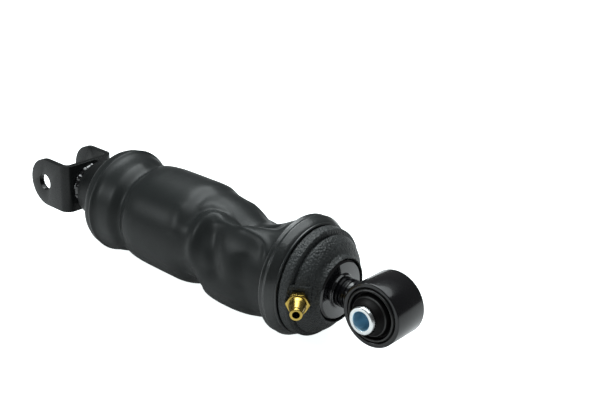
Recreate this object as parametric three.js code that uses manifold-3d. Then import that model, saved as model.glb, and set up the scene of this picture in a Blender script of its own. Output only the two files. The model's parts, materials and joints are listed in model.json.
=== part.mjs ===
// An air-sprung cab shock absorber: a twin-tube damper inside a rubber rolling bellows, with a bent-plate fork at
// one end and a rubber-bushed eye at the other.  Millimetres.  The origin is the centre of the fork's bolt axis,
// +X runs along the damper to the eye, +Y along both bolt axes, +Z up.  It is drawn at full extension.
import * as THREE from "three";
import { mergeVertices } from "three/addons/utils/BufferGeometryUtils.js";
import Module from "manifold-3d";

const wasm = await Module();
wasm.setup();

// Driving dimensions.
const length = 362; // fork bolt axis to eye bolt axis, fully extended
const gap = 0.3; // clearance between neighbouring solids

const plate = 5; // fork plate thickness
const forkHalfWidth = 27.5;
const forkHalfHeight = 22;
const forkEndInset = 3; // centre of the ear's rounded end, inboard of the bolt hole
const forkWeb = 31; // damper-side face of the web
const forkBend = 9; // outer radius of the two bends
const forkHole = 7.5;

const cupStart = 43.5; // fork-side rim of the rolling piston
const pistonWall = 29; // radius of the wall that the bellows rolls on
const pistonEnd = 136;
const tubeR = 21;
const tubeEnd = 204;
const boreR = 13; // pressure tube's inner radius
const rodR = 6;

const ringStart = 281; // rear edge of the crimp ring
const ringR = 48.6;
const capFlange = 297.6;
const spigotR = 40.6;
const recessFloor = 317.6;
const discFace = 322.5; // outer face of the end disc
const discR = 24.2;

const eyeR = 25;
const eyeBore = 21.3;
const eyeWidth = 32;
const sleeveR = 10.6;
const sleeveBore = 7.25;
const sleeveLength = 55;

const fittingTilt = (53.5 * Math.PI) / 180; // from +X towards -Y
const padCentre = new THREE.Vector3(311, -36.4, 0);
const hexAcrossFlats = 16;
const hexHeight = 5;

// Materials.
function finish(color, roughness, metalness) {
  return new THREE.MeshStandardMaterial({ color, roughness, metalness });
}
const blackPaint = finish(0x141518, 0.32, 0.2);
const capPlastic = finish(0x25272a, 0.68, 0.0);
const rubber = finish(0x2a2c2f, 0.6, 0.0);
const sealRubber = finish(0x141414, 0.8, 0.0);
const steel = finish(0x9a9da0, 0.4, 1.0);
const zinc = finish(0xd9dcde, 0.28, 1.0);
const chrome = finish(0xe6e8ea, 0.1, 1.0);
const brass = finish(0xd9b45c, 0.25, 1.0);
const sintered = finish(0x5c5d60, 0.6, 0.8);
const foam = finish(0xc9b98a, 0.9, 0.0);

// Geometry helpers.
// A profile is a list of [axial, radius] points; it starts and ends on the axis or closes on itself.
function closed(profile) {
  const first = profile[0];
  const last = profile[profile.length - 1];
  const onAxis = first[1] === 0 && last[1] === 0;
  return onAxis ? profile : [...profile, first];
}

function lathed(profile, sides) {
  const loop = closed(profile).map(([a, r]) => new THREE.Vector2(r, a));
  if (THREE.ShapeUtils.area(loop) < 0) loop.reverse();
  return new THREE.LatheGeometry(loop, sides);
}

// Turned about the damper's X axis.
function turned(profile, sides = 24) {
  return lathed(profile, sides).rotateZ(-Math.PI / 2);
}

// Turned about a bolt axis (Y) at the given x.
function turnedAcross(profile, x, sides = 28) {
  return lathed(profile, sides).translate(x, 0, 0);
}

function ringProfile(start, end, inner, outer) {
  return [
    [start, inner],
    [start, outer],
    [end, outer],
    [end, inner],
  ];
}

function chamferedRing(start, end, inner, outer, c) {
  return [
    [start, inner],
    [start, outer - c],
    [start + c, outer],
    [end - c, outer],
    [end, outer - c],
    [end, inner],
  ];
}

function arc(centre, radius, from, to, steps) {
  return Array.from({ length: steps + 1 }, (_, i) => {
    const a = THREE.MathUtils.degToRad(from + ((to - from) * i) / steps);
    return [centre[0] + radius * Math.cos(a), centre[1] + radius * Math.sin(a)];
  });
}

function smoothThrough(points, count) {
  const curve = new THREE.SplineCurve(points.map(([x, r]) => new THREE.Vector2(x, r)));
  return curve.getPoints(count).map((p) => [p.x, p.y]);
}

function block(x0, x1, y0, y1, z0, z1) {
  const box = new THREE.BoxGeometry(x1 - x0, y1 - y0, z1 - z0);
  return box.translate((x0 + x1) / 2, (y0 + y1) / 2, (z0 + z1) / 2);
}

function solid(geometry) {
  const bare = geometry.clone();
  bare.deleteAttribute("normal");
  bare.deleteAttribute("uv");
  const joined = mergeVertices(bare, 1e-4);
  return new wasm.Manifold(
    new wasm.Mesh({
      numProp: 3,
      vertProperties: new Float32Array(joined.attributes.position.array),
      triVerts: new Uint32Array(joined.index.array),
    }),
  );
}

function geometryOf(body) {
  const mesh = body.getMesh();
  const g = new THREE.BufferGeometry();
  g.setAttribute("position", new THREE.BufferAttribute(mesh.vertProperties, 3));
  g.setIndex(new THREE.BufferAttribute(mesh.triVerts, 1));
  g.computeVertexNormals();
  return g;
}

const group = new THREE.Group();

function add(name, geometry, material) {
  const mesh = new THREE.Mesh(geometry, material);
  mesh.name = name;
  group.add(mesh);
  return mesh;
}

// ---- Fork side ----

// A strip bent into a U, cut to rounded ears and drilled for the bolt.
function forkBracket() {
  const inner = forkHalfWidth - plate;
  const bendIn = forkBend - plate;
  const back = -forkHalfHeight; // beyond the rounded ends, which trim it
  const u = new THREE.Shape();
  u.moveTo(back, -forkHalfWidth);
  u.lineTo(forkWeb - forkBend, -forkHalfWidth);
  u.absarc(forkWeb - forkBend, -forkHalfWidth + forkBend, forkBend, -Math.PI / 2, 0, false);
  u.lineTo(forkWeb, forkHalfWidth - forkBend);
  u.absarc(forkWeb - forkBend, forkHalfWidth - forkBend, forkBend, 0, Math.PI / 2, false);
  u.lineTo(back, forkHalfWidth);
  u.lineTo(back, inner);
  u.lineTo(forkWeb - forkBend, inner);
  u.absarc(forkWeb - forkBend, inner - bendIn, bendIn, Math.PI / 2, 0, true);
  u.lineTo(forkWeb - plate, -inner + bendIn);
  u.absarc(forkWeb - forkBend, -inner + bendIn, bendIn, 0, -Math.PI / 2, true);
  u.lineTo(back, -inner);
  const strip = new THREE.ExtrudeGeometry(u, {
    depth: 2 * forkHalfHeight,
    bevelEnabled: false,
    curveSegments: 6,
  });
  strip.translate(0, 0, -forkHalfHeight);

  const side = new THREE.Shape();
  side.moveTo(forkWeb + 1, -forkHalfHeight);
  side.lineTo(forkWeb + 1, forkHalfHeight);
  side.absarc(forkEndInset, 0, forkHalfHeight, Math.PI / 2, -Math.PI / 2, false);
  const trim = new THREE.ExtrudeGeometry(side, {
    depth: 2 * forkHalfWidth + 2,
    bevelEnabled: false,
    curveSegments: 14,
  });
  trim.rotateX(Math.PI / 2);
  trim.translate(0, forkHalfWidth + 1, 0);

  const drill = new THREE.CylinderGeometry(forkHole, forkHole, 2 * forkHalfWidth + 2, 28);
  return geometryOf(solid(strip).intersect(solid(trim)).subtract(solid(drill)));
}
add("fork_bracket", forkBracket(), blackPaint);

// The closing cap of the reserve tube, with the stub that the fork is welded to.
const stubR = 14;
const capPlug = 46; // inner end of the cap
const plugR = tubeR - 2.3;
add(
  "base_cap",
  turned([
    [forkWeb + gap, 0],
    [forkWeb + gap, stubR],
    [38, stubR],
    [39.5, tubeR],
    [42, tubeR],
    [42, plugR],
    [capPlug, plugR],
    [capPlug, 0],
  ]),
  blackPaint,
);
const tubeStart = 42 + gap;
const tubeBore = tubeR - 1.8;
add("reserve_tube", turned(ringProfile(tubeStart, tubeEnd, tubeBore, tubeR)), blackPaint);

const valveEnd = 58;
add(
  "base_valve_body",
  turned([
    [capPlug + gap, 1.8],
    [capPlug + gap, boreR + 3],
    [50, boreR + 3],
    [50, boreR - gap],
    [valveEnd, boreR - gap],
    [valveEnd, 1.8],
  ]),
  sintered,
);
add("base_valve_shims", turned(ringProfile(valveEnd + gap, valveEnd + 1.5, 1.8, 9), 20), steel);
const boltHead = valveEnd + 1.5 + gap;
add(
  "base_valve_bolt",
  turned([
    [capPlug + gap, 0],
    [capPlug + gap, 1.5],
    [boltHead, 1.5],
    [boltHead, 3.6],
    [boltHead + 3, 3.6],
    [boltHead + 3, 0],
  ], 12),
  zinc,
);
const pressureEnd = 188;
add("pressure_tube", turned(ringProfile(50 + gap, pressureEnd, boreR, boreR + 1.5)), steel);

const guideEnd = tubeEnd - 4;
add(
  "rod_guide",
  turned([
    [pressureEnd - 5, rodR + gap],
    [pressureEnd - 5, boreR - gap],
    [pressureEnd + gap, boreR - gap],
    [pressureEnd + gap, tubeBore - gap],
    [guideEnd, tubeBore - gap],
    [guideEnd, 11],
    [guideEnd - 5, 11],
    [guideEnd - 5, rodR + gap],
  ]),
  sintered,
);
add(
  "rod_seal",
  turned([
    [guideEnd - 5 + gap, rodR + gap],
    [guideEnd - 5 + gap, 10.7],
    [guideEnd, 10.7],
    [guideEnd - 1.5, rodR + gap],
  ]),
  sealRubber,
);
// The last 0.5 mm stands proud of the tube, as the lip that is rolled over the end does.
add("closure_cap", turned(ringProfile(guideEnd + gap, tubeEnd + 0.5, rodR + 1, tubeBore - gap)), blackPaint);

// The moulded cup that the bellows rolls on: a flared skirt at the fork end, then a straight wall.
const cupBore = tubeR + 0.5;
const skirtR = 33;
function cupProfile() {
  const skirt = smoothThrough(
    [
      [cupStart + 3, 25.8],
      [56, 29],
      [67, skirtR],
    ],
    4,
  );
  return [
    [cupStart, cupBore],
    [cupStart, 25],
    [cupStart + 0.6, 25.5],
    ...skirt,
    [70, 32.6],
    [73, 30],
    [76, pistonWall],
    [pistonEnd, pistonWall],
    [pistonEnd, cupBore],
  ];
}
const sealX = [52, 124];
const sealSection = 1.1;
function grooveProfile(x) {
  return ringProfile(x - 1.6, x + 1.6, tubeR, cupBore + 2.1);
}
const cupBlank = solid(turned(cupProfile(), 32));
const grooved = sealX.reduce((body, x) => body.subtract(solid(turned(grooveProfile(x), 32))), cupBlank);
add("rolling_piston", geometryOf(grooved), capPlastic);
["rear", "front"].forEach((place, i) => {
  const section = arc([sealX[i], cupBore + 0.85], sealSection, 0, 300, 5);
  add("piston_o_ring_" + place, turned(section), sealRubber);
});
add("piston_snap_ring", turned(ringProfile(pistonEnd + gap, pistonEnd + 2, tubeR + gap, 24)), steel);

// ---- Bellows ----

const wall = 2.6;
const clampR = spigotR + gap + 2.7; // outside of the sleeve where the ring grips it
const outside = smoothThrough(
  [
    [78, 45.1],
    [87, 44.2],
    [96, 42],
    [106, 38.8],
    [118, 41.2],
    [140, 43],
    [178, 42.8],
    [200, 39.4],
    [224, 39.6],
    [250, 40.2],
    [266, 42],
    [ringStart + 2, clampR],
  ],
  19,
);
// The rolled edge: half a turn that takes the wall back inside itself.
const rollIn = pistonWall + gap + wall;
const rollOut = outside[0][1];
const roll = (rollOut - rollIn) / 2 + wall / 2;
const rollCentre = [outside[0][0], (rollOut + rollIn - wall) / 2];
function bellowsProfile() {
  const rolledOuter = arc(rollCentre, roll, 90, 270, 6).slice(1);
  const rolledInner = arc(rollCentre, roll - wall, 270, 90, 5);
  const inner = outside.slice(1, -1).map(([x, r]) => [x, r - wall]);
  const clampEnd = 295.5;
  return [
    ...outside,
    [clampEnd, clampR],
    [clampEnd, spigotR + gap],
    [ringStart, spigotR + gap],
    ...inner.reverse(),
    ...rolledInner.reverse(),
    [128, rollIn],
    [128, pistonWall + gap],
    ...rolledOuter.reverse(),
  ];
}
// The soft wall has fallen in on its upper side near the crimp ring and bulges below.
function slump(geometry) {
  const p = geometry.attributes.position;
  const middle = 236;
  const reach = 30;
  const depth = 0.17;
  for (let i = 0; i < p.count; i++) {
    const x = p.getX(i);
    const y = p.getY(i);
    const z = p.getZ(i);
    const r = Math.hypot(y, z);
    const along = Math.max(0, 1 - ((x - middle) / reach) ** 2) ** 2;
    const k = 1 - depth * along * (z / r);
    p.setXYZ(i, x, y * k, z * k);
  }
  return geometry;
}
add("air_bellows", slump(turned(bellowsProfile(), 28)), rubber);
add("inner_clamp_ring", turned(chamferedRing(115, 124, rollIn + gap, rollIn + 2, 0.5), 28), steel);

// ---- Rod side ----

const rodEnd = 335;
const pistonFace = 160; // fork side of the damper piston
const pistonTop = pistonFace + 13;
add(
  "piston_rod",
  turned([
    [pistonFace - 10, 0],
    [pistonFace - 10, 3.6],
    [pistonTop + gap, 3.6],
    [pistonTop + gap, rodR],
    [rodEnd - 1, rodR],
    [rodEnd, rodR - 1],
    [rodEnd, 0],
  ]),
  chrome,
);
add("piston_nut", nutOnAxis(pistonFace - 9, pistonFace - 2.2, 6.5, 3.9), zinc);
add("piston_shims", turned(ringProfile(pistonFace - 2 + gap, pistonFace - gap, 3.9, 9.5), 20), steel);
add(
  "damper_piston",
  turned([
    [pistonFace, 3.9],
    [pistonFace, boreR - 0.6],
    [pistonFace + 2.5, boreR - 0.6],
    [pistonFace + 2.5, boreR - 2.2],
    [pistonTop - 2.5, boreR - 2.2],
    [pistonTop - 2.5, boreR - 0.6],
    [pistonTop, boreR - 0.6],
    [pistonTop, 3.9],
  ]),
  sintered,
);
const bandStart = pistonFace + 2.5 + gap;
const bandEnd = pistonTop - 2.5 - gap;
add("piston_band", turned(ringProfile(bandStart, bandEnd, boreR - 1.9, boreR - 0.3)), sealRubber);
add("rebound_stop", turned(chamferedRing(pistonTop + 1.5, pressureEnd - 6, rodR + gap, 9.5, 1)), foam);

function nutOnAxis(start, end, apothem, hole) {
  const corner = apothem / Math.cos(Math.PI / 6);
  const hex = solid(turned([[start, 0], [start, corner], [end, corner], [end, 0]], 6));
  const bore = solid(turned([[start - 1, 0], [start - 1, hole], [end + 1, hole], [end + 1, 0]], 16));
  return geometryOf(hex.subtract(bore));
}

// Cellular bump stop: it meets the closure cap at full compression.
const hubEnd = 297;
function bumpProfile() {
  const start = hubEnd - gap - 22;
  const waist = start + 12;
  return [
    [start, rodR + gap],
    [start, 13],
    [start + 3, 16],
    [waist - 2, 16.5],
    [waist, 14],
    [waist + 2, 17],
    [hubEnd - gap, 17],
    [hubEnd - gap, rodR + gap],
  ];
}
add("bump_stop", turned(bumpProfile()), foam);

const rodSealX = recessFloor - 5;
// The moulded cap: spigot under the bellows, flange, grooved step, domed shoulder and a collar round the disc.
function capOutline() {
  const stepR = 39.1;
  const grooveDepth = 1.6;
  const dome = smoothThrough(
    [
      [308, stepR],
      [311.6, 36.8],
      [315.2, 33],
      [317.6, 28.6],
    ],
    5,
  );
  return [
    [ringStart + 1, 36.5],
    [ringStart + 1, spigotR - 0.6],
    [ringStart + 1.6, spigotR],
    [capFlange, spigotR],
    [capFlange, 42.9],
    [capFlange + 0.4, 43.3],
    [304.8, 42.9],
    [305.2, 42.2],
    [305.3, stepR - grooveDepth],
    [307, stepR - grooveDepth],
    [307.3, stepR],
    ...dome,
    [318.2, 27.4],
    [discFace - 0.6, 26.4],
    [discFace, 25.8],
    [discFace, discR + 0.6],
    [recessFloor, discR + 0.6],
    [recessFloor, rodR + gap],
    [rodSealX + 1.5, rodR + gap],
    [rodSealX + 1.5, rodR + 2.9],
    [rodSealX - 1.5, rodR + 2.9],
    [rodSealX - 1.5, rodR + gap],
    [hubEnd, rodR + gap],
    [hubEnd, 13.5],
    [306, 14.5],
    [309, 17],
    [309, 29],
    [303, 36.5],
  ];
}
const outward = new THREE.Vector3(Math.cos(fittingTilt), -Math.sin(fittingTilt), 0);
function alongFitting(geometry) {
  // The piece's own +Y becomes the fitting's axis, with its base on the pad.
  const turn = new THREE.Quaternion().setFromUnitVectors(new THREE.Vector3(0, 1, 0), outward);
  return geometry.applyQuaternion(turn).translate(padCentre.x, padCentre.y, padCentre.z);
}
function topCap() {
  const bossDepth = 9;
  const bossHalf = 12;
  const bossLow = -9;
  const bossHigh = 8;
  const boss = alongFitting(block(bossLow, bossHigh, -bossDepth, 0, -bossHalf, bossHalf));
  const port = alongFitting(new THREE.CylinderGeometry(4.9, 4.9, 60, 20));
  const spotFace = alongFitting(lathed(ringProfile(0, 15, 0, 9.8), 28));
  const body = solid(turned(capOutline(), 32)).add(solid(boss));
  return body.subtract(solid(port)).subtract(solid(spotFace));
}
add("top_cap", geometryOf(topCap()), capPlastic);

const crimpBore = clampR + gap;
add(
  "crimp_ring",
  turned([
    [ringStart, crimpBore],
    [ringStart, ringR - 1.4],
    [ringStart + 0.6, ringR - 0.4],
    [ringStart + 2, ringR],
    [ringStart + 6, ringR - 0.4],
    [296, 44.9],
    [296, crimpBore],
  ], 36),
  blackPaint,
);
add("rod_o_ring", turned(arc([rodSealX, rodR + 1.5], 1, 0, 300, 5), 20), sealRubber);

// ---- Fitting ----

function hexPrism(height, apothem) {
  const corner = apothem / Math.cos(Math.PI / 6);
  // Two of its corners lie level with the axis.
  return new THREE.CylinderGeometry(corner, corner, height, 6).rotateY(Math.PI / 6);
}
function airFitting() {
  const seat = 0.9;
  const hexTop = seat + hexHeight;
  const tip = hexTop + 15.1;
  const nipple = 4.85;
  const bore = 2.9;
  const shank = lathed([
    [-8, 0],
    [-8, 4.2],
    [seat + 1, 4.2],
    [seat + 1, 0],
  ], 20);
  const half = hexAcrossFlats / 2;
  const hex = hexPrism(hexHeight, half).translate(0, seat + hexHeight / 2, 0);
  const chamfer = lathed([
    [seat - 1, 0],
    [seat - 1, half + 2],
    [hexTop - 0.9, half + 1.7],
    [hexTop, half + 0.1],
    [hexTop, 0],
  ], 24);
  const body = lathed([
    [hexTop - 1, 0],
    [hexTop - 1, 6.9],
    [hexTop, 6.9],
    [hexTop + 4, 6.4],
    [tip - 4.5, 4.6],
    [tip - 3.5, nipple],
    [tip - 0.5, nipple],
    [tip, nipple - 0.5],
    [tip, 0],
  ], 20);
  const drill = lathed([
    [-9, 0],
    [-9, bore],
    [tip + 1, bore],
    [tip + 1, 0],
  ], 16);
  const parts = solid(shank).add(solid(hex).intersect(solid(chamfer))).add(solid(body));
  return alongFitting(geometryOf(parts.subtract(solid(drill))));
}
add("air_fitting", airFitting(), brass);
add("fitting_seal", alongFitting(lathed(ringProfile(0.1, 0.8, 4.5, 7.2), 20)), sealRubber);

// ---- Eye ----

add(
  "end_disc",
  turned([
    [recessFloor + gap, rodR + gap],
    [recessFloor + gap, discR],
    [discFace - 1, discR],
    [discFace, discR - 1],
    [discFace, 14],
    [discFace + 2.2, 13.4],
    [discFace + 2.2, rodR + gap],
  ], 32),
  blackPaint,
);

function eyeRing() {
  const halfWidth = eyeWidth / 2;
  const band = turnedAcross([
    [-halfWidth, 0],
    [-halfWidth, eyeR - 0.8],
    [-halfWidth + 0.8, eyeR],
    [halfWidth - 0.8, eyeR],
    [halfWidth, eyeR - 0.8],
    [halfWidth, 0],
  ], length, 36);
  const stemStart = discFace + 2.2 + gap;
  const stem = turned([
    [stemStart, 0],
    [stemStart, 11.8],
    [length - 8, 11.8],
    [length - 8, 0],
  ]);
  const bore = turnedAcross([
    [-halfWidth - 1, 0],
    [-halfWidth - 1, eyeBore],
    [halfWidth + 1, eyeBore],
    [halfWidth + 1, 0],
  ], length, 36);
  const rodHole = turned([
    [stemStart - 1, 0],
    [stemStart - 1, rodR + gap],
    [rodEnd + gap, rodR + gap],
    [rodEnd + gap, 0],
  ]);
  return geometryOf(solid(band).add(solid(stem)).subtract(solid(bore)).subtract(solid(rodHole)));
}
add("eye_ring", eyeRing(), blackPaint);

// Half of the bush's section, from its middle out to the boss that hugs the sleeve; the other half mirrors it.
const bushR = eyeBore - gap;
const bossEnd = 24.2;
const bushHalf = [
  [15.4, bushR],
  [16.4, bushR - 1.2],
  [16.4, 18.4],
  [13.4, 17.4],
  [13.4, 16],
  [18, 15.2],
  [20.2, 13.6],
  [bossEnd, 11.6],
  [bossEnd, sleeveR + gap],
];
function bushProfile() {
  const mirrored = bushHalf.map(([a, r]) => [-a, r]).reverse();
  return [...mirrored, ...bushHalf];
}
add("rubber_bush", turnedAcross(bushProfile(), length), sealRubber);

const sleeveHalf = sleeveLength / 2;
add(
  "inner_sleeve",
  turnedAcross(chamferedRing(-sleeveHalf, sleeveHalf, sleeveBore, sleeveR, 0.5), length),
  zinc,
);

export default group;
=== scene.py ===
import json
import math

import bpy
import numpy as np
from mathutils import Euler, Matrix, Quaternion, Vector


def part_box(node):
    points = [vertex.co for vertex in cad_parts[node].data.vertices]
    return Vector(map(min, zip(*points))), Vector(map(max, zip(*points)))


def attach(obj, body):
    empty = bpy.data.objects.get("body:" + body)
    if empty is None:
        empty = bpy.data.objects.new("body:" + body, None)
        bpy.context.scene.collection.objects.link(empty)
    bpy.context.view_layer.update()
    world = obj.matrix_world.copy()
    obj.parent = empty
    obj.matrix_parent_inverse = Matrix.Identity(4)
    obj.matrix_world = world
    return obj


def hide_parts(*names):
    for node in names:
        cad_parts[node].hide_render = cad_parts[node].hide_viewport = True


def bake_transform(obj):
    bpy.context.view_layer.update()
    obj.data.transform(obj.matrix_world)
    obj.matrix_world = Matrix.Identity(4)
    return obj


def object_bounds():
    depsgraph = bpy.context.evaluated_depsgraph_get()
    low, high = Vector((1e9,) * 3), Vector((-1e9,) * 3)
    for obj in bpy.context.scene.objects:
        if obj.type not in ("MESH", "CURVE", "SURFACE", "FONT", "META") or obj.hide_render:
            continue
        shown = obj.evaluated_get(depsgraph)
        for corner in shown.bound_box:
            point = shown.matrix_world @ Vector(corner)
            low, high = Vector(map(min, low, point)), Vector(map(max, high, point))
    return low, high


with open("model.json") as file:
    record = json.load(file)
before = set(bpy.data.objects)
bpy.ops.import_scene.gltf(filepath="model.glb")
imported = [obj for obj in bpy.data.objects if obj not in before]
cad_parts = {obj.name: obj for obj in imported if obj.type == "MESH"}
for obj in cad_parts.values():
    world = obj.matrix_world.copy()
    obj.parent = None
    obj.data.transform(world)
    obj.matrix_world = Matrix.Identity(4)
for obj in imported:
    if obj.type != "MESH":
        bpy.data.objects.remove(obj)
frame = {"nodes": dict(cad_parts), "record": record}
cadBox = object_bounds()
mm = 0.001
print("frame loaded")


def low(node):
    return Vector(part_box(node)[0]) / mm


def high(node):
    return Vector(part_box(node)[1]) / mm


eyeX = (low("inner_sleeve").x + high("inner_sleeve").x) / 2
forkWeb = high("fork_bracket").x
forkY = high("fork_bracket").y
forkZ = high("fork_bracket").z
cupStart = low("rolling_piston").x
cupEnd = high("rolling_piston").x
ringStart = low("crimp_ring").x
ringEnd = high("crimp_ring").x
ringR = high("crimp_ring").z
discFace = high("end_disc").x - 2.2
discR = high("end_disc").z
stemStart = low("eye_ring").x
eyeR = high("eye_ring").z
eyeHalf = high("eye_ring").y
bushHalf = high("rubber_bush").y
sleeveHalf = high("inner_sleeve").y
sleeveR = high("inner_sleeve").z

# small modelling helpers, all in millimetres


def clearSelection():
    if bpy.context.mode != "OBJECT":
        bpy.ops.object.mode_set(mode="OBJECT")
    bpy.ops.object.select_all(action="DESELECT")


def pick(obj):
    clearSelection()
    obj.select_set(True)
    bpy.context.view_layer.objects.active = obj
    return obj


def named(name):
    obj = bpy.context.active_object
    obj.name = name
    obj.data.name = name
    return obj


def settle(obj):
    # place, turn and scale go into the mesh
    pick(obj)
    bpy.ops.object.transform_apply(location=True, rotation=True, scale=True)
    return obj


def applied(obj, kind, **settings):
    pick(obj)
    modifier = obj.modifiers.new(kind.title(), kind)
    for key, value in settings.items():
        setattr(modifier, key, value)
    bpy.ops.object.modifier_apply(modifier=modifier.name)
    return obj


def softEdges(obj, width, segments=3, angle=28):
    applied(
        obj, "BEVEL", width=width * mm, segments=segments, limit_method="ANGLE",
        angle_limit=math.radians(angle), harden_normals=False,
    )
    return smooth(obj)


def smooth(obj, angle=38):
    pick(obj)
    bpy.ops.object.shade_smooth_by_angle(angle=math.radians(angle))
    return obj


def boolean(obj, tool, operation):
    applied(obj, "BOOLEAN", operation=operation, object=tool, solver="EXACT")
    bpy.data.objects.remove(tool, do_unlink=True)
    return obj


def turnedPiece(name, profile, sides=96, along="X", at=0.0, closed=True):
    # a circle is carried along the axis: each step is an extrude, a move and a resize;
    # closed joins the last ring to the first, otherwise both end rings are filled
    onX = along == "X"
    start, radius = profile[0]
    clearSelection()
    bpy.ops.mesh.primitive_circle_add(
        vertices=sides, radius=radius * mm,
        location=(start * mm, 0, 0) if onX else (at * mm, start * mm, 0),
        rotation=(0, math.pi / 2, 0) if onX else (math.pi / 2, 0, 0),
    )
    obj = settle(named(name))
    bpy.ops.object.mode_set(mode="EDIT")
    bpy.ops.mesh.select_all(action="SELECT")
    stations = profile[1:] + ([profile[0]] if closed else [])
    before = profile[0]
    for station in stations:
        step = (station[0] - before[0]) * mm
        ratio = station[1] / before[1]
        centre = (station[0] * mm, 0, 0) if onX else (at * mm, station[0] * mm, 0)
        bpy.ops.mesh.extrude_region_move(
            TRANSFORM_OT_translate={"value": (step, 0, 0) if onX else (0, step, 0)}
        )
        bpy.ops.transform.resize(
            value=(1, ratio, ratio) if onX else (ratio, 1, ratio), center_override=centre
        )
        before = station
    if closed:
        bpy.ops.mesh.select_all(action="SELECT")
        bpy.ops.mesh.remove_doubles(threshold=1e-7)
    else:
        bpy.ops.mesh.edge_face_add()
        fillFirstRing(obj, profile[0][0], onX)
    bpy.ops.mesh.select_all(action="SELECT")
    bpy.ops.mesh.normals_make_consistent(inside=False)
    bpy.ops.object.mode_set(mode="OBJECT")
    return obj


def fillFirstRing(obj, place, onX):
    bpy.ops.object.mode_set(mode="OBJECT")
    selectWhere(obj, lambda co: abs((co.x if onX else co.y) - place * mm) < 1e-6)
    bpy.ops.object.mode_set(mode="EDIT")
    bpy.ops.mesh.edge_face_add()


def selectWhere(obj, test):
    # leaves object mode with just the wanted vertices, and what they span, selected
    pick(obj)
    bpy.ops.object.mode_set(mode="EDIT")
    bpy.ops.mesh.select_mode(type="VERT")
    bpy.ops.mesh.select_all(action="DESELECT")
    bpy.ops.object.mode_set(mode="OBJECT")
    for vertex in obj.data.vertices:
        vertex.select = test(vertex.co)


def blockPiece(name, lowest, highest):
    clearSelection()
    size = [(b - a) * mm for a, b in zip(lowest, highest)]
    middle = [(a + b) / 2 * mm for a, b in zip(lowest, highest)]
    bpy.ops.mesh.primitive_cube_add(size=1, location=middle, scale=size)
    return settle(named(name))


def rod(name, radius, depth, at, along="Y", sides=64):
    clearSelection()
    turn = {"X": (0, math.pi / 2, 0), "Y": (math.pi / 2, 0, 0), "Z": (0, 0, 0)}[along]
    bpy.ops.mesh.primitive_cylinder_add(
        vertices=sides, radius=radius * mm, depth=depth * mm,
        location=[c * mm for c in at], rotation=turn,
    )
    return settle(named(name))


def finished(obj, body, slotName, material, *nodes):
    obj.data.materials.clear()
    obj.data.materials.append(material)
    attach(obj, body)
    if nodes:
        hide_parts(*nodes)
    return obj


# shader groups and materials


def newGroup(name, inputs, outputs):
    group = bpy.data.node_groups.new(name, "ShaderNodeTree")
    for title, kind, value in inputs:
        socket = group.interface.new_socket(name=title, in_out="INPUT", socket_type=kind)
        socket.default_value = value
    for title, kind in outputs:
        group.interface.new_socket(name=title, in_out="OUTPUT", socket_type=kind)
    return group, group.nodes.new("NodeGroupInput"), group.nodes.new("NodeGroupOutput")


def noise(tree, scale, detail=3.0, rough=0.5):
    node = tree.nodes.new("ShaderNodeTexNoise")
    node.inputs["Scale"].default_value = scale
    node.inputs["Detail"].default_value = detail
    node.inputs["Roughness"].default_value = rough
    return node


def mapRange(tree, source, fromLow, fromHigh, toLow, toHigh):
    node = tree.nodes.new("ShaderNodeMapRange")
    node.inputs["From Min"].default_value = fromLow
    node.inputs["From Max"].default_value = fromHigh
    node.inputs["To Min"].default_value = toLow
    node.inputs["To Max"].default_value = toHigh
    tree.links.new(source, node.inputs["Value"])
    return node.outputs["Result"]


def makeGrainGroup():
    # a fine moulded or cast grain: a height for Bump and a small change of roughness
    group, given, out = newGroup(
        "mouldGrain",
        [("Vector", "NodeSocketVector", (0, 0, 0)), ("Cells", "NodeSocketFloat", 900.0),
         ("Roughness", "NodeSocketFloat", 0.5), ("Spread", "NodeSocketFloat", 0.1)],
        [("Height", "NodeSocketFloat"), ("Roughness", "NodeSocketFloat")],
    )
    link = group.links.new
    cells = group.nodes.new("ShaderNodeTexVoronoi")
    cells.feature = "F1"
    link(given.outputs["Vector"], cells.inputs["Vector"])
    link(given.outputs["Cells"], cells.inputs["Scale"])
    speck = noise(group, 1.0, 4.0, 0.6)
    link(given.outputs["Vector"], speck.inputs["Vector"])
    link(given.outputs["Cells"], speck.inputs["Scale"])
    add = group.nodes.new("ShaderNodeMath")
    add.operation = "ADD"
    link(cells.outputs["Distance"], add.inputs[0])
    link(speck.outputs["Fac"], add.inputs[1])
    link(add.outputs["Value"], out.inputs["Height"])
    centred = group.nodes.new("ShaderNodeMath")
    centred.operation = "SUBTRACT"
    link(speck.outputs["Fac"], centred.inputs[0])
    centred.inputs[1].default_value = 0.5
    scaled = group.nodes.new("ShaderNodeMath")
    scaled.operation = "MULTIPLY_ADD"
    link(centred.outputs["Value"], scaled.inputs[0])
    link(given.outputs["Spread"], scaled.inputs[1])
    link(given.outputs["Roughness"], scaled.inputs[2])
    link(scaled.outputs["Value"], out.inputs["Roughness"])
    return group


def makeMottleGroup():
    # slow drifts between two colours; the drift's mask is given out as well
    group, given, out = newGroup(
        "mottle",
        [("Vector", "NodeSocketVector", (0, 0, 0)), ("Dark", "NodeSocketColor", (0, 0, 0, 1)),
         ("Light", "NodeSocketColor", (1, 1, 1, 1)), ("Patches", "NodeSocketFloat", 18.0)],
        [("Color", "NodeSocketColor"), ("Mask", "NodeSocketFloat")],
    )
    link = group.links.new
    drift = noise(group, 1.0, 5.0, 0.62)
    link(given.outputs["Vector"], drift.inputs["Vector"])
    link(given.outputs["Patches"], drift.inputs["Scale"])
    mask = mapRange(group, drift.outputs["Fac"], 0.32, 0.7, 0.0, 1.0)
    mix = group.nodes.new("ShaderNodeMix")
    mix.data_type = "RGBA"
    link(mask, mix.inputs["Factor"])
    link(given.outputs["Dark"], mix.inputs[6])
    link(given.outputs["Light"], mix.inputs[7])
    link(mix.outputs[2], out.inputs["Color"])
    link(mask, out.inputs["Mask"])
    return group


grainGroup = makeGrainGroup()
mottleGroup = makeMottleGroup()


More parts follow.
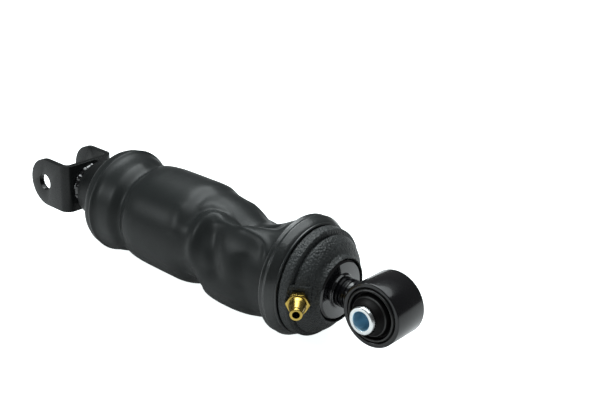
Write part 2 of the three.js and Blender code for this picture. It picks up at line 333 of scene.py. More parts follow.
def finish(name, dark, light, roughness, spread=0.08, cells=900.0, patches=18.0, bump=0.2,
           bumpDepth=0.00005, metallic=0.0, coat=0.0, coatRoughness=0.05, specular=0.5, stretch=None):
    material = bpy.data.materials.new(name)
    material.use_nodes = True
    tree = material.node_tree
    shader = tree.nodes["Principled BSDF"]
    coordinate = tree.nodes.new("ShaderNodeTexCoord")
    vector = coordinate.outputs["Object"]
    if stretch:
        mapping = tree.nodes.new("ShaderNodeMapping")
        mapping.inputs["Scale"].default_value = stretch
        tree.links.new(vector, mapping.inputs["Vector"])
        vector = mapping.outputs["Vector"]
    colour = tree.nodes.new("ShaderNodeGroup")
    colour.node_tree = mottleGroup
    colour.inputs["Dark"].default_value = (*dark, 1)
    colour.inputs["Light"].default_value = (*light, 1)
    colour.inputs["Patches"].default_value = patches
    tree.links.new(coordinate.outputs["Object"], colour.inputs["Vector"])
    tree.links.new(colour.outputs["Color"], shader.inputs["Base Color"])
    grain = tree.nodes.new("ShaderNodeGroup")
    grain.node_tree = grainGroup
    grain.inputs["Cells"].default_value = cells
    grain.inputs["Roughness"].default_value = roughness
    grain.inputs["Spread"].default_value = spread
    tree.links.new(vector, grain.inputs["Vector"])
    tree.links.new(grain.outputs["Roughness"], shader.inputs["Roughness"])
    relief = tree.nodes.new("ShaderNodeBump")
    relief.inputs["Strength"].default_value = bump
    relief.inputs["Distance"].default_value = bumpDepth
    tree.links.new(grain.outputs["Height"], relief.inputs["Height"])
    tree.links.new(relief.outputs["Normal"], shader.inputs["Normal"])
    shader.inputs["Metallic"].default_value = metallic
    shader.inputs["Coat Weight"].default_value = coat
    shader.inputs["Coat Roughness"].default_value = coatRoughness
    shader.inputs["Specular IOR Level"].default_value = specular
    return material


glossPaint = finish(
    "glossPaint", (0.003, 0.003, 0.004), (0.006, 0.006, 0.007), 0.14, 0.05, 260, 30, 0.10,
    0.00006, coat=0.75, coatRoughness=0.04,
)
forkPaint = finish(
    "forkPaint", (0.006, 0.007, 0.007), (0.011, 0.012, 0.012), 0.28, 0.08, 420, 26, 0.16,
    0.00008, coat=0.3, coatRoughness=0.1, specular=0.1,
)
eyePaint = finish(
    "eyePaint", (0.003, 0.003, 0.004), (0.006, 0.006, 0.007), 0.20, 0.08, 260, 30, 0.14,
    0.00008, coat=0.34, coatRoughness=0.06, specular=0.3,
)
ringPaint = finish(
    "ringPaint", (0.010, 0.012, 0.012), (0.020, 0.023, 0.023), 0.32, 0.2, 620, 22, 0.4,
    0.0002, coat=0.35, coatRoughness=0.14, specular=0.4,
)
bellowsRubber = finish(
    "bellowsRubber", (0.009, 0.011, 0.011), (0.016, 0.018, 0.018), 0.40, 0.12, 1300, 14, 0.16,
    0.00005, specular=0.2,
)
grainedPlastic = finish(
    "grainedPlastic", (0.018, 0.020, 0.020), (0.034, 0.038, 0.039), 0.40, 0.34, 560, 30, 1.0,
    0.00065, specular=0.34,
)
cupPlastic = finish(
    "cupPlastic", (0.004, 0.005, 0.005), (0.007, 0.008, 0.008), 0.46, 0.10, 900, 20, 0.18, 0.00005,
    specular=0.11,
)
bushRubber = finish(
    "bushRubber", (0.003, 0.003, 0.003), (0.007, 0.006, 0.006), 0.46, 0.14, 900, 60, 0.25, 0.00008,
    specular=0.09,
)
# glossier rubber for the bush's lip and shoulder edge; its lighter colour is a painted highlight
lipHighlightRubber = finish(
    "lipHighlightRubber", (0.012, 0.012, 0.012), (0.022, 0.022, 0.021), 0.32, 0.14, 900, 60, 0.2, 0.00006,
    specular=0.5,
)
sealRubber = finish("sealRubber", (0.006, 0.006, 0.006), (0.010, 0.010, 0.010), 0.7, 0.1, 1200)
zincPlate = finish(
    "zincPlate", (0.66, 0.69, 0.70), (0.86, 0.88, 0.88), 0.26, 0.10, 500, 90, 0.12, 0.00004,
    metallic=1.0, stretch=(1, 0.15, 1),
)
zincBore = finish(
    "zincBore", (0.46, 0.74, 0.92), (0.70, 0.90, 1.0), 0.45, 0.12, 500, 60, 0.15, 0.00004,
    metallic=1.0, stretch=(1, 0.15, 1),
)
brightBrass = finish(
    "brightBrass", (0.42, 0.29, 0.06), (0.60, 0.44, 0.12), 0.24, 0.12, 800, 120, 0.12, 0.00003,
    metallic=1.0,
)
plainSteel = finish(
    "plainSteel", (0.40, 0.41, 0.42), (0.58, 0.59, 0.60), 0.34, 0.12, 700, 40, 0.15, 0.00004,
    metallic=1.0,
)
chromedRod = finish(
    "chromedRod", (0.78, 0.79, 0.80), (0.86, 0.87, 0.88), 0.08, 0.03, 900, 40, 0.03, 0.00002,
    metallic=1.0, stretch=(0.3, 1, 1),
)
sinteredIron = finish(
    "sinteredIron", (0.14, 0.14, 0.145), (0.24, 0.24, 0.245), 0.62, 0.2, 1300, 60, 0.5, 0.00012,
    metallic=0.7,
)
foam = finish("foam", (0.52, 0.42, 0.22), (0.68, 0.58, 0.34), 0.9, 0.1, 1000, 60, 0.8, 0.0002)
print("materials made")

# camera, floor and light

cameraSet = {
    "target": (278.1, 0, 59.9), "azimuth": 39.66, "elevation": 22.85, "roll": 2.67,
    "distance": 818.9, "lens": 65.3,
}


def addCamera(c):
    azimuth = math.radians(c["azimuth"])
    elevation = math.radians(c["elevation"])
    back = Vector((
        math.sin(azimuth) * math.cos(elevation), -math.cos(azimuth) * math.cos(elevation),
        math.sin(elevation),
    ))
    clearSelection()
    bpy.ops.object.camera_add(location=(Vector(c["target"]) + back * c["distance"]) * mm)
    camera = bpy.context.active_object
    camera.name = "viewCamera"
    level = back.to_track_quat("Z", "Y")
    roll = Quaternion((0, 0, 1), math.radians(c["roll"]))
    camera.rotation_euler = (level @ roll).to_euler()
    camera.data.lens = c["lens"]
    camera.data.sensor_width = 36
    camera.data.clip_start = 0.01
    bpy.context.scene.camera = camera


addCamera(cameraSet)

floorSet = {"half": 3000, "centre": 200, "drop": 0.4, "glow": 1.0, "bounce": 0.07}
floorZ = cadBox[0][2] / mm - floorSet["drop"]


def addFloor(s):
    clearSelection()
    bpy.ops.mesh.primitive_plane_add(
        size=2 * s["half"] * mm, location=(s["centre"] * mm, 0, floorZ * mm),
    )
    floor = settle(named("floor"))
    material = bpy.data.materials.new("paleFloor")
    material.use_nodes = True
    shader = material.node_tree.nodes["Principled BSDF"]
    shader.inputs["Base Color"].default_value = (0.76, 0.76, 0.76, 1)
    shader.inputs["Roughness"].default_value = 0.7
    shader.inputs["Emission Color"].default_value = (0.95, 1, 1, 1)
    # the glow is for camera rays alone; the pieces get only the small bounce
    path = material.node_tree.nodes.new("ShaderNodeLightPath")
    seen = mapRange(material.node_tree, path.outputs["Is Camera Ray"], 0, 1, s["bounce"], s["glow"])
    material.node_tree.links.new(seen, shader.inputs["Emission Strength"])
    floor.data.materials.append(material)


addFloor(floorSet)

lamps = [  # place in mm, aim, size in mm, watts
    {"name": "ceiling", "at": (150, 260, 1350), "aim": (150, 160, 0), "size": 1700, "power": 26},
    {"name": "topSoft", "at": (-180, 320, 1050), "aim": (200, 0, 0), "size": 640, "power": 6.4},
    {"name": "frontLeft", "at": (-420, -760, 430), "aim": (140, 0, 10), "size": 240, "power": 2.4},
]


def addLamp(s):
    clearSelection()
    bpy.ops.object.light_add(type="AREA", location=[v * mm for v in s["at"]])
    lamp = bpy.context.active_object
    lamp.name = s["name"]
    lamp.data.shape = "SQUARE"
    lamp.data.size = s["size"] * mm
    lamp.data.energy = s["power"]
    lamp.data.color = (0.93, 0.99, 1.0)
    aim = Vector(s["aim"]) - Vector(s["at"])
    lamp.rotation_euler = aim.to_track_quat("-Z", "Y").to_euler()


for lampSet in lamps:
    addLamp(lampSet)

world = bpy.data.worlds.new("studio")
bpy.context.scene.world = world
world.use_nodes = True
background = world.node_tree.nodes["Background"]
background.inputs["Color"].default_value = (1.0, 1.0, 1.0, 1)
# white behind the floor, but a dim room for everything that is lit
roomSet = {"lit": 0.1, "seen": 1.0}
worldPath = world.node_tree.nodes.new("ShaderNodeLightPath")
roomLight = mapRange(
    world.node_tree, worldPath.outputs["Is Camera Ray"], 0, 1, roomSet["lit"], roomSet["seen"]
)
world.node_tree.links.new(roomLight, background.inputs["Strength"])
bpy.context.scene.view_settings.view_transform = "Standard"
print("camera, floor and light placed")

# fork: a strip bent into a U

forkSet = {
    "plate": 5.0, "bend": 9.0, "endCentre": 3.0, "hole": 7.5, "edge": 1.1, "bendSteps": 12,
    "overrun": 4,
}


def makeFork(s):
    plate = s["plate"]
    back = low("fork_bracket").x - s["overrun"]
    bendX = forkWeb - s["bend"]
    # the near ear's cross-section, drawn at its free end and carried round the U
    clearSelection()
    bpy.ops.mesh.primitive_plane_add(
        size=1, location=(back * mm, (-forkY + plate / 2) * mm, 0), rotation=(0, math.pi / 2, 0),
    )
    bpy.context.active_object.scale = (2 * forkZ * mm, plate * mm, 1)
    fork = settle(named("fork"))
    bpy.ops.object.mode_set(mode="EDIT")
    bpy.ops.mesh.select_all(action="SELECT")
    bpy.ops.mesh.extrude_region_move(
        TRANSFORM_OT_translate={"value": ((bendX - back) * mm, 0, 0)}
    )
    bendUp = (bendX * mm, (-forkY + s["bend"]) * mm, 0)
    bpy.ops.mesh.spin(steps=s["bendSteps"], angle=-math.pi / 2, center=bendUp, axis=(0, 0, 1))
    bpy.ops.mesh.extrude_region_move(
        TRANSFORM_OT_translate={"value": (0, 2 * (forkY - s["bend"]) * mm, 0)}
    )
    bendBack = (bendX * mm, (forkY - s["bend"]) * mm, 0)
    bpy.ops.mesh.spin(steps=s["bendSteps"], angle=-math.pi / 2, center=bendBack, axis=(0, 0, 1))
    bpy.ops.mesh.extrude_region_move(
        TRANSFORM_OT_translate={"value": ((back - bendX) * mm, 0, 0)}
    )
    bpy.ops.mesh.select_all(action="SELECT")
    bpy.ops.mesh.remove_doubles(threshold=1e-7)
    bpy.ops.mesh.normals_make_consistent(inside=False)
    bpy.ops.object.mode_set(mode="OBJECT")
    # rounded ear ends: a long tool with one half-round end
    tool = rod("endTool", forkZ, 3 * forkY, (s["endCentre"], 0, 0), sides=128)
    selectWhere(tool, lambda co: co.x > (s["endCentre"] + 0.01) * mm)
    bpy.ops.object.mode_set(mode="EDIT")
    bpy.ops.transform.translate(value=(2 * forkWeb * mm, 0, 0))
    bpy.ops.object.mode_set(mode="OBJECT")
    boolean(fork, tool, "INTERSECT")
    boolean(fork, rod("holeTool", s["hole"], 3 * forkY, (0, 0, 0), sides=72), "DIFFERENCE")
    softEdges(fork, s["edge"], 3, 35)
    return finished(fork, "damper", "black_paint", forkPaint, "fork_bracket")


makeFork(forkSet)

weldSet = {
    "x": 32.6, "radius": 16.4, "bead": 3.2, "ripples": 13, "around": 182, "rise": 1.0,
    "swell": 0.45,
}


def makeWeld(s):
    clearSelection()
    bpy.ops.mesh.primitive_torus_add(
        location=(s["x"] * mm, 0, 0), rotation=(0, math.pi / 2, 0), major_segments=s["around"],
        minor_segments=16, major_radius=s["radius"] * mm, minor_radius=s["bead"] * mm,
    )
    weld = settle(named("fork_weld"))
    # overlapping puddles: every few sections swell and the ones between pinch
    spacing = 2 * math.pi / s["ripples"]

    def crest(co):
        angle = math.atan2(co.z, co.y) % spacing
        return angle < spacing * s["swell"]

    selectWhere(weld, crest)
    bpy.ops.object.mode_set(mode="EDIT")
    bpy.ops.transform.shrink_fatten(value=s["rise"] * mm)
    bpy.ops.object.mode_set(mode="OBJECT")
    applied(weld, "SMOOTH", factor=0.6, iterations=4)
    applied(weld, "SUBSURF", levels=1, render_levels=1)
    smooth(weld, 60)
    return finished(weld, "damper", "black_paint", glossPaint)


makeWeld(weldSet)

capSet = {"stub": 14.0, "shoulder": 21.0, "plug": 18.7}


def makeBaseCap(s):
    start = low("base_cap").x
    end = high("base_cap").x
    cap = turnedPiece("closed_base", [
        (start, s["stub"]), (start + 6.2, s["stub"]), (start + 7.6, s["stub"] + 2.2),
        (start + 8.4, s["shoulder"]), (start + 10.6, s["shoulder"]), (start + 10.6, s["plug"]),
        (end, s["plug"]),
    ], closed=False)
    softEdges(cap, 0.4)
    return finished(cap, "damper", "black_paint", glossPaint, "base_cap")


makeBaseCap(capSet)

cupSet = {"bore": 21.5, "rim": 25.5, "skirt": 33.0, "wall": 29.0}


def makeCup(s):
    bore = s["bore"]
    profile = [
        (cupStart + 1.2, bore), (cupStart, bore + 0.8), (cupStart, s["rim"] - 0.5),
        (cupStart + 0.5, s["rim"]), (cupStart + 3.2, s["rim"]), (cupStart + 3.6, s["rim"] + 0.5),
        (49.5, 26.9), (53, 28.1), (57, 29.5), (61, 31.0), (64.5, 32.3), (67, s["skirt"]),
        (69.4, 32.8), (71.2, 31.8), (73.2, 30.2), (76, s["wall"]), (100, s["wall"]),
        (cupEnd - 1, s["wall"]), (cupEnd, s["wall"] - 1), (cupEnd, bore),
    ]
    cup = turnedPiece("rolling_cup", profile, sides=128)
    softEdges(cup, 0.25, 2)
    return finished(cup, "damper", "moulded_plastic", cupPlastic, "rolling_piston")


makeCup(cupSet)
print("fork side made")

# air bellows: the slack rubber sleeve

bellowsSet = {
    "wall": 2.4, "around": 216, "step": 1.7, "plainR": 43.5, "rimX": 86.8, "rimR": 45.0,
    "innerWall": 29.4, "innerStart": 78, "innerEnd": 127.0, "innerSteps": 8, "clampEnd": 294.5,
    "blendFrom": 84.0, "blendTo": 272.0,
}
# the rolled edge: a narrow crest, then inward to the wall that lies on the cup
rimPath = [
    (85.8, 44.75), (85.0, 45.2), (84.3, 45.4), (83.6, 45.15), (83.0, 44.75), (82.0, 44.55),
    (80.0, 44.5), (77.6, 44.1), (75.2, 43.1), (73.1, 41.6), (71.5, 39.5), (70.7, 37.0),
    (71.0, 34.8), (72.3, 32.9), (74.4, 31.9),
]
# outer radius by place: the top, which has fallen in, the front and the underside
topSide = [
    (86, 43.9), (91, 42.3), (96, 40.9), (100, 38.9), (104, 37.0), (107, 36.9), (112, 39.4),
    (120, 41.4), (130, 42.6), (145, 43.0), (165, 43.1), (176, 43.1), (182, 42.7), (186, 41.7),
    (190, 40.2), (194, 39.4), (200, 38.6), (208, 36.9), (215, 34.8), (222, 32.0), (230, 28.6),
    (237, 26.6), (243, 27.6), (250, 29.8), (257, 32.6), (264, 36.2), (271, 40.0), (278, 43.0),
    (284, 43.7), (295, 43.5),
]
frontSide = [
    (86, 44.4), (88.5, 43.5), (91, 43.15), (94, 43.0), (97, 42.5), (100, 41.1), (103, 39.0),
    (106.5, 38.2), (110, 39.9), (114, 41.4), (120, 42.2), (130, 42.9), (145, 43.3), (165, 43.5),
    (178, 43.4), (188, 42.8), (197, 42.2), (206, 42.0), (216, 42.0), (226, 42.8), (236, 44.0),
    (246, 44.6), (255, 44.3), (263, 43.6), (272, 43.3), (281, 43.7), (295, 43.5),
]
underSide = [
    (86, 44.4), (91, 43.4), (96, 42.4), (100, 41.4), (104, 39.4), (107, 38.7), (112, 40.4),
    (119, 42.0), (130, 43.2), (145, 43.7), (165, 44.0), (177, 43.9), (184, 42.6), (190, 40.6),
    (196, 38.9), (202, 39.4), (208, 43.2), (214, 45.9), (221, 47.0), (230, 47.4), (240, 47.3),
    (250, 46.3), (258, 44.6), (264, 43.2), (273, 43.2), (281, 43.6), (295, 43.5),
]
# ridges and hollows as short runs of (place, angle round the axis); height and half-width in mm
folds = [
    {"run": [(206, 194), (204.5, 170), (205, 150), (206.5, 134), (210.5, 123.5), (217.5, 120.5),
             (226, 124), (235, 128)], "height": 2.8, "width": 5.6},
    {"run": [(217, 131), (221, 144), (226, 160), (231, 178), (236, 194)],
     "height": -2.8, "width": 7.5},
    {"run": [(195, 150), (197, 128), (203, 118), (213.5, 114), (224, 119.5), (231, 125)],
     "height": -2.0, "width": 3.8},
    {"run": [(182, 88), (186, 106), (188.5, 121), (191, 134), (193, 146), (194, 156)],
     "height": -1.3, "width": 5.5},
    {"run": [(177, 124), (180, 138), (182, 152), (182, 168)], "height": 0.8, "width": 6.0},
    {"run": [(231, 126), (238, 119.5), (244, 109), (250, 100), (258, 95), (266, 93)],
     "height": -3.4, "width": 4.0},
    {"run": [(243, 116), (252, 111), (262, 107), (274, 105)], "height": -2.6, "width": 6.0},
    {"run": [(236, 129), (246, 128.5), (256, 128.5), (265, 130), (272, 134), (276, 143),
             (277, 158)], "height": 1.3, "width": 2.9},
    {"run": [(254, 150), (258, 162), (260, 176), (258, 192)], "height": -1.1, "width": 8.0},
    {"run": [(202, 226), (208, 212), (213, 201)], "height": -2.8, "width": 4.0},
    {"run": [(194, 214), (200, 203), (205, 194)], "height": 1.4, "width": 3.4},
    {"run": [(206, 62), (217, 46), (228, 32), (238, 22)], "height": 1.2, "width": 7.0},
    {"run": [(190, 60), (196, 40), (204, 22), (210, 2)], "height": -2.6, "width": 7.5},
    {"run": [(250, 44), (257, 32), (262, 18), (262, 2)], "height": -1.8, "width": 6.5},
    {"run": [(194, 335), (202, 312), (206, 290), (205, 268)], "height": 1.6, "width": 5.0},
]


def smoothRadius(points, places):
    # a cubic through the points, with slopes taken from their neighbours
    xs = np.array([p[0] for p in points], float)
    rs = np.array([p[1] for p in points], float)
    slopes = np.gradient(rs, xs)
    at = np.clip(np.searchsorted(xs, places) - 1, 0, len(xs) - 2)
    span = xs[at + 1] - xs[at]
    t = np.clip((places - xs[at]) / span, 0, 1)
    h00 = 2 * t**3 - 3 * t**2 + 1
    h10 = t**3 - 2 * t**2 + t
    h01 = -2 * t**3 + 3 * t**2
    h11 = t**3 - t**2
    return h00 * rs[at] + h10 * span * slopes[at] + h01 * rs[at + 1] + h11 * span * slopes[at + 1]


def ease(t):
    t = np.clip(t, 0, 1)
    return t * t * (3 - 2 * t)


slumpSet = {  # places in mm along the axis, edges and ramps in degrees round it
    "edge": 140, "pull": 11, "ramp": 44, "steepen": 29, "relax": 21, "near": 205, "nearOver": 30,
    "cap": 238, "capOver": 16, "back": -2, "backRamp": 36, "split": 78, "last": 260,
}


def topWeight(places, angles, s):
    # 1 where the wall has fallen in; its front edge turns steep near the cap, then eases
    near = ease((places - s["near"]) / s["nearOver"])
    edge = s["edge"] - s["pull"] * near
    relaxed = s["relax"] * ease((places - s["cap"]) / s["capOver"])
    ramp = s["ramp"] - s["steepen"] * near + relaxed
    front = ease((edge - angles) / ramp)
    back = ease((angles - s["back"]) / s["backRamp"])
    return np.where(angles > s["split"], front, back) * (angles < s["last"])


grooveSet = {  # the shift in mm, then where it fades in and out: round the axis and along it
    "shift": 8.5, "top": 66, "topRamp": 34, "under": 234, "underRamp": 28,
    "start": 90, "startRamp": 16, "end": 138, "endRamp": 20,
}


def grooveShift(places, angles, s):
    # seen from the front the groove lies further from the fork than its two ends do
    front = ease((angles - s["top"]) / s["topRamp"]) * ease((s["under"] - angles) / s["underRamp"])
    fadeIn = ease((places - s["start"]) / s["startRamp"])
    return s["shift"] * front * fadeIn * ease((s["end"] - places) / s["endRamp"])


frontSet = {"under": 204, "underRamp": 22, "top": 60, "topRamp": 40}


def frontWeight(angles, s):
    # 1 on the front of the wall, 0 on its underside
    return ease((s["under"] - angles) / s["underRamp"]) * ease((angles - s["top"]) / s["topRamp"])


unrollR = 43  # radius at which the wall is laid flat to measure folds
taperShare = 0.25  # share of a run over which a fold rises from nothing


def foldHeight(places, angles, fold):
    # distance to the run, measured on the unrolled surface
    unroll = unrollR * math.pi / 180
    run = [(x, a * unroll) for x, a in fold["run"]]
    across = ((angles + 180) % 360 - 180) if max(a for _, a in fold["run"]) < 90 else angles
    best = np.full(places.shape, 1e9)
    travelled = np.zeros(places.shape)
    lengths = [math.dist(p, q) for p, q in zip(run, run[1:])]
    total = sum(lengths)
    done = 0.0
    for (ax, ay), (bx, by), length in zip(run, run[1:], lengths):
        dx, dy = bx - ax, by - ay
        t = np.clip(((places - ax) * dx + (across * unroll - ay) * dy) / length**2, 0, 1)
        away = np.hypot(places - ax - t * dx, across * unroll - ay - t * dy)
        nearer = away < best
        best = np.where(nearer, away, best)
        travelled = np.where(nearer, (done + t * length) / total, travelled)
        done += length
    taper = ease(np.minimum(travelled, 1 - travelled) / taperShare)
    return fold["height"] * taper * np.exp(-((best / fold["width"]) ** 2))


def makeBellows(s):
    rimX = s["rimX"]
    count = int((s["clampEnd"] - rimX) / s["step"])
    outer = [(s["clampEnd"] - i * s["step"], s["plainR"]) for i in range(count)]
    outer.append((rimX, s["rimR"]))
    # the wall on the cup lies under the inner clamp ring
    reach = s["innerEnd"] - s["innerStart"]
    inner = [
        (s["innerStart"] + reach * i / s["innerSteps"], s["innerWall"])
        for i in range(s["innerSteps"] + 1)
    ]
    profile = outer + rimPath + inner
    start, radius = profile[0]
    clearSelection()
    bpy.ops.mesh.primitive_circle_add(
        vertices=s["around"], radius=radius * mm, location=(start * mm, 0, 0),
        rotation=(0, math.pi / 2, 0),
    )
    sleeve = settle(named("slack_bellows"))
    bpy.ops.object.mode_set(mode="EDIT")
    bpy.ops.mesh.select_all(action="SELECT")
    for (px, pr), (x, r) in zip(profile, profile[1:]):
        bpy.ops.mesh.extrude_region_move(
            TRANSFORM_OT_translate={"value": ((x - px) * mm, 0, 0)}
        )
        bpy.ops.transform.resize(value=(1, r / pr, r / pr), center_override=(x * mm, 0, 0))
    bpy.ops.object.mode_set(mode="OBJECT")
    # the outer wall takes its slack shape
    data = sleeve.data
    flat = np.empty(len(data.vertices) * 3)
    data.vertices.foreach_get("co", flat)
    points = flat.reshape(-1, 3) / mm
    outerCount = len(outer) * s["around"]
    wall = points[:outerCount]
    angles = np.degrees(np.arctan2(wall[:, 2], wall[:, 1])) % 360
    places = wall[:, 0]
    top = topWeight(places, angles, slumpSet)
    front = frontWeight(angles, frontSet)
    along = places - grooveShift(places, angles, grooveSet)
    radii = smoothRadius(underSide, along) * (1 - front) + smoothRadius(frontSide, along) * front
    radii = radii * (1 - top) + smoothRadius(topSide, along) * top
    for fold in folds:
        radii = radii + foldHeight(places, angles, fold)
    turn = np.radians(angles)
    wall[:, 1] = radii * np.cos(turn)
    wall[:, 2] = radii * np.sin(turn)
    data.vertices.foreach_set("co", (points * mm).ravel())
    data.update()
    pick(sleeve)
    bpy.ops.object.mode_set(mode="EDIT")
    bpy.ops.mesh.select_all(action="SELECT")
    bpy.ops.mesh.normals_make_consistent(inside=False)
    bpy.ops.object.mode_set(mode="OBJECT")
    applied(sleeve, "SMOOTH", factor=0.5, iterations=1)
    applied(sleeve, "SOLIDIFY", thickness=s["wall"] * mm, offset=-1.0)
    smooth(sleeve, 80)
    sleeve.data.materials.clear()
    sleeve.data.materials.append(bellowsRubber)
    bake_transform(sleeve)
    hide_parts("air_bellows")
    return sleeve


makeBellows(bellowsSet)
print("bellows made")

# crimp ring and moulded cap

crimpSet = {"inner": 43.9, "lip": 44.7}


def makeCrimpRing(s):
    profile = [
        (ringStart, s["inner"] + 1.2), (ringStart, ringR - 1.9), (ringStart + 0.5, ringR - 0.8),
        (ringStart + 1.5, ringR - 0.3), (ringStart + 2.6, ringR - 0.6),
        (ringStart + 3.8, ringR - 1.1), (ringStart + 5.4, ringR - 0.75),
        (ringStart + 6.2, ringR - 0.1), (ringStart + 6.8, ringR), (ringStart + 7.4, ringR - 0.35),
        (ringStart + 10.4, ringR - 1.9), (ringStart + 13.0, ringR - 3.5),
        (ringEnd - 1.7, s["lip"] - 0.1), (ringEnd - 1.2, s["lip"] + 0.2),
        (ringEnd - 0.5, s["lip"] + 0.1), (ringEnd, s["lip"] - 0.7),
        (ringEnd, s["inner"] - 0.3), (ringStart + 1.5, s["inner"] - 0.3),
    ]
    ring = turnedPiece("crimped_ring", profile, sides=160)
    softEdges(ring, 0.22, 2)
    return finished(ring, "rod", "black_paint", ringPaint, "crimp_ring")


makeCrimpRing(crimpSet)

topSet = {
    "spigot": 40.6, "flange": 297.4, "flangeR": 43.5, "bore": 6.3, "recess": 317.6,
    "padAt": (311.0, -36.4, 0.0), "tilt": 53.5, "padHalf": 12.0, "padLow": -9.5, "padHigh": 9.0,
    "port": 4.9, "spot": 9.8,
}


def alongFitting(obj):
    # a piece built on +Y from the origin is turned onto the fitting's axis and stood on the pad
    obj.rotation_euler = Euler((0, 0, math.radians(-90 - topSet["tilt"])), "XYZ")
    obj.location = Vector(topSet["padAt"]) * mm
    return settle(obj)


def makeTopCap(s):
    flange = s["flange"]
    profile = [
        (282, 36.5), (282, s["spigot"] - 0.6), (282.6, s["spigot"]), (flange, s["spigot"]),
        (flange, 43.0), (flange + 0.4, s["flangeR"]), (flange + 3.6, s["flangeR"] - 0.15),
        (304.4, 43.0), (305.0, 42.6), (305.3, 42.0), (305.4, 37.4), (307.0, 37.4), (307.3, 38.8),
        (307.9, 39.1), (309.3, 38.5), (311.2, 37.2), (313.3, 35.4), (315.1, 33.3), (316.6, 31.0),
        (317.7, 28.7), (318.4, 27.6), (319.4, 27.0), (321.8, 26.4), (322.4, 26.0), (322.5, 25.4),
        (322.0, discR + 0.8), (s["recess"], discR + 0.6), (s["recess"], s["bore"]),
        (297, s["bore"]), (297, 13.5), (306, 14.5), (309, 17), (309, 29), (303, 36.5),
    ]
    cap = turnedPiece("moulded_cap", profile, sides=160)
    pad = blockPiece("pad", (s["padLow"], -9, -s["padHalf"]), (s["padHigh"], 0, s["padHalf"]))
    softEdges(pad, 1.2, 4)
    boolean(cap, alongFitting(pad), "UNION")
    spot = rod("spot", s["spot"], 15, (0, 7.5, 0), sides=72)
    boolean(cap, alongFitting(spot), "DIFFERENCE")
    boolean(cap, alongFitting(rod("port", s["port"], 60, (0, 0, 0), sides=48)), "DIFFERENCE")
    smooth(cap, 30)
    return finished(cap, "rod", "moulded_plastic", grainedPlastic, "top_cap")


makeTopCap(topSet)
print("cap made")

# end disc, stem and eye

discSet = {"bore": 6.3, "thick": 4.6, "raised": 13.4, "raise": 2.2}


def makeDisc(s):
    back = discFace - s["thick"]
    disc = turnedPiece("end_disc_plate", [
        (back, s["bore"]), (back, discR - 0.3), (back + 0.3, discR), (discFace - 1.7, discR),
        (discFace, discR - 1.9), (discFace, s["raised"] + 0.6),
        (discFace + 0.5, s["raised"]), (discFace + s["raise"] - 0.5, s["raised"]),
        (discFace + s["raise"], s["raised"] - 0.5), (discFace + s["raise"], s["bore"]),
    ], sides=144)
    softEdges(disc, 0.2, 2)
    return finished(disc, "rod", "black_paint", glossPaint, "end_disc")


makeDisc(discSet)

eyeSet = {"bore": 21.3, "edge": 0.9, "stem": 11.8, "fillet": 4.0, "blind": 335.3, "rodHole": 6.3}


def makeEye(s):
    bore = s["bore"]
    band = turnedPiece("eye_band", [
        (-eyeHalf, bore), (-eyeHalf, eyeR), (eyeHalf, eyeR), (eyeHalf, bore),
    ], sides=144, along="Y", at=eyeX)
    softEdges(band, s["edge"], 4)
    ringFace = eyeX - math.sqrt(eyeR**2 - s["stem"] ** 2)
    flare = [
        (ringFace - s["fillet"] + s["fillet"] * math.sin(math.radians(a)),
         s["stem"] + s["fillet"] * 0.8 * (1 - math.cos(math.radians(a))))
        for a in range(0, 76, 15)
    ]
    stem = turnedPiece("stem", [
        (stemStart, s["stem"] - 0.6), (stemStart + 0.6, s["stem"]), (327.6, s["stem"]),
        (328.1, 10.6), (329.4, 10.6), (329.9, s["stem"]), (332.2, s["stem"]), (332.7, 10.9),
        (333.6, 10.9), (334.1, s["stem"]), *flare,
        (ringFace + 3.2, flare[-1][1] + 0.4),
    ], sides=96, closed=False)
    boolean(stem, rod("eyeTool", bore + 1.5, 90, (eyeX, 0, 0), sides=144), "DIFFERENCE")
    hole = rod("rodTool", s["rodHole"], 2 * (s["blind"] - stemStart), (stemStart, 0, 0), "X", 48)
    boolean(stem, hole, "DIFFERENCE")
    boolean(band, stem, "UNION")
    smooth(band, 32)
    band.name = "mounting_eye"
    return finished(band, "rod", "black_paint", eyePaint, "eye_ring")


makeEye(eyeSet)

bushSet = {
    "outer": 21.0, "lip": 18.4, "shoulder": 15.2, "bossTop": 11.6, "shoulderAt": 17.4,
    "highlightBand": 0.6,
}


def makeBush(s):
    outer = s["outer"]
    half = [
        (13.4, outer), (13.4, outer - 0.4), (15.6, outer - 0.6), (16.5, outer - 1.0),
        (16.8, outer - 1.6), (16.6, s["lip"] + 0.3), (15.8, s["lip"]), (13.2, s["lip"] - 0.5),
        (12.9, 17.0), (13.3, 16.2), (s["shoulderAt"], s["shoulder"] + 0.2),
        (18.1, s["shoulder"]),
        (18.5, s["shoulder"] - 0.6), (20.2, 13.6), (22.4, 12.6),
        (bushHalf, s["bossTop"]), (bushHalf - 0.3, sleeveR + 0.3),
    ]
    profile = [(-y, r) for y, r in reversed(half)] + half
    bush = turnedPiece("rubber_bushing", profile, sides=128, along="Y", at=eyeX)
    softEdges(bush, 0.25, 2)
    finished(bush, "rod", "bush_rubber", bushRubber, "rubber_bush")
    # the lip and the shoulder's edge take a glossier rubber whose lighter colour is a painted
    # highlight; the boss stays dull
    bush.data.materials.append(lipHighlightRubber)
    for face in bush.data.polygons:
        c = face.center
        fromAxis = math.hypot(c.x - eyeX * mm, c.z) / mm
        # the band round the shoulder's edge that gets the painted highlight
        nearEdge = abs(fromAxis - s["shoulder"] + 0.3) < s["highlightBand"]
        onShoulder = nearEdge and abs(c.y) > s["shoulderAt"] * mm
        face.material_index = 1 if fromAxis > s["lip"] - 0.2 or onShoulder else 0
    return bush


makeBush(bushSet)

sleeveSet = {"bore": 7.25, "edge": 0.6}


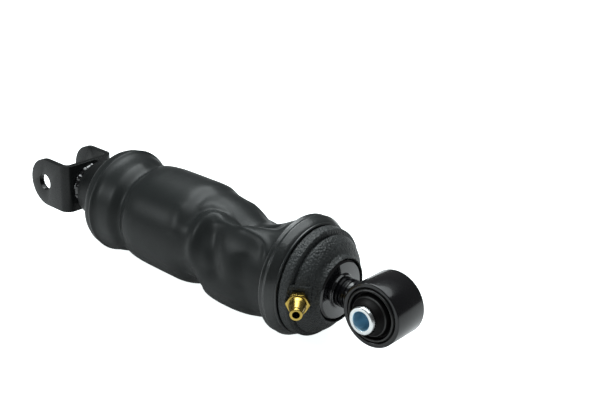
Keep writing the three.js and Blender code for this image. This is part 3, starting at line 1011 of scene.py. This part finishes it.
def makeSleeve(s):
    end = sleeveHalf
    sleeve = turnedPiece("bolt_sleeve", [
        (-end, s["bore"] + 0.5), (-end, sleeveR - s["edge"]), (-end + s["edge"], sleeveR),
        (end - s["edge"], sleeveR), (end, sleeveR - s["edge"]), (end, s["bore"] + 0.5),
        (end - 0.5, s["bore"]), (-end + 0.5, s["bore"]),
    ], sides=96, along="Y", at=eyeX)
    softEdges(sleeve, 0.15, 2)
    finished(sleeve, "sleeve", "zinc_plate", zincPlate, "inner_sleeve")
    # the passivated bore keeps its blue tint
    sleeve.data.materials.append(zincBore)
    limit = (s["bore"] + 0.35) * mm
    for face in sleeve.data.polygons:
        c = face.center
        face.material_index = 1 if math.hypot(c.x - eyeX * mm, c.z) < limit else 0
    return sleeve


makeSleeve(sleeveSet)
print("eye made")

# brass fitting

fittingSet = {
    "seat": 0.9, "hex": 5.0, "flats": 16.0, "reach": 15.1, "shank": 4.2, "nipple": 4.85,
    "bore": 2.9, "neck": 6.9,
}


def makeFitting(s):
    top = s["seat"] + s["hex"]
    tip = top + s["reach"]
    corner = s["flats"] / 2 / math.cos(math.pi / 6)
    clearSelection()
    bpy.ops.mesh.primitive_cylinder_add(
        vertices=6, radius=corner * mm, depth=s["hex"] * mm,
        location=(0, (s["seat"] + s["hex"] / 2) * mm, 0), rotation=(math.pi / 2, 0, 0),
    )
    hexagon = settle(named("hexagon"))
    # two corners lie level with the axis
    if max(abs(v.co.x) for v in hexagon.data.vertices) < (corner - 0.01) * mm:
        hexagon.rotation_euler = (0, math.pi / 6, 0)
        settle(hexagon)
    chamfer = turnedPiece("chamferTool", [
        (s["seat"] - 2, s["flats"]), (top - 2.6, s["flats"] / 2 + 4.4),
        (top + 0.01, s["flats"] / 2 - 0.1),
    ], sides=72, along="Y", closed=False)
    boolean(hexagon, chamfer, "INTERSECT")
    softEdges(hexagon, 0.18, 2)
    shank = turnedPiece("shank", [
        (-8, s["shank"] - 0.5), (-7.5, s["shank"]), (s["seat"] + 1, s["shank"]),
    ], sides=48, along="Y", closed=False)
    body = turnedPiece("spout", [
        (top - 1, s["neck"]), (top + 0.9, s["neck"]), (top + 1.5, s["neck"] - 0.4),
        (top + 4.5, s["neck"] - 0.8), (top + 8.0, s["neck"] - 1.7), (tip - 4.6, 4.7),
        (tip - 3.8, 4.5), (tip - 3.2, s["nipple"] - 0.1), (tip - 2.8, s["nipple"]),
        (tip - 0.8, s["nipple"]), (tip - 0.25, s["nipple"] - 0.25), (tip, s["nipple"] - 0.8),
    ], sides=72, along="Y", closed=False)
    boolean(hexagon, body, "UNION")
    boolean(hexagon, shank, "UNION")
    boolean(hexagon, rod("boreTool", s["bore"], 70, (0, 0, 0), sides=48), "DIFFERENCE")
    smooth(hexagon, 32)
    hexagon.name = "brass_fitting"
    alongFitting(hexagon)
    finished(hexagon, "rod", "brass", brightBrass, "air_fitting")
    washer = turnedPiece("fitting_washer", [
        (0.1, 4.5), (0.1, 7.4), (0.8, 7.4), (0.8, 4.5),
    ], sides=64, along="Y")
    softEdges(washer, 0.2, 2)
    alongFitting(washer)
    return finished(washer, "rod", "bush_rubber", sealRubber, "fitting_seal")


makeFitting(fittingSet)
print("fitting made")

# inner CAD pieces keep their shape and take their own finishes

nodeFinish = {
    "black_paint": ringPaint, "moulded_plastic": cupPlastic, "bellows_rubber": bellowsRubber,
    "bush_rubber": sealRubber, "plain_steel": plainSteel, "zinc_plate": zincPlate,
    "chromed_rod": chromedRod, "brass": brightBrass, "sintered_iron": sinteredIron,
    "cellular_foam": foam,
}
for part in frame["record"]["subparts"]:
    obj = frame["nodes"][part["node"]]
    obj.data.materials.clear()
    obj.data.materials.append(nodeFinish[part["material_slot"]])
print("inner pieces painted")
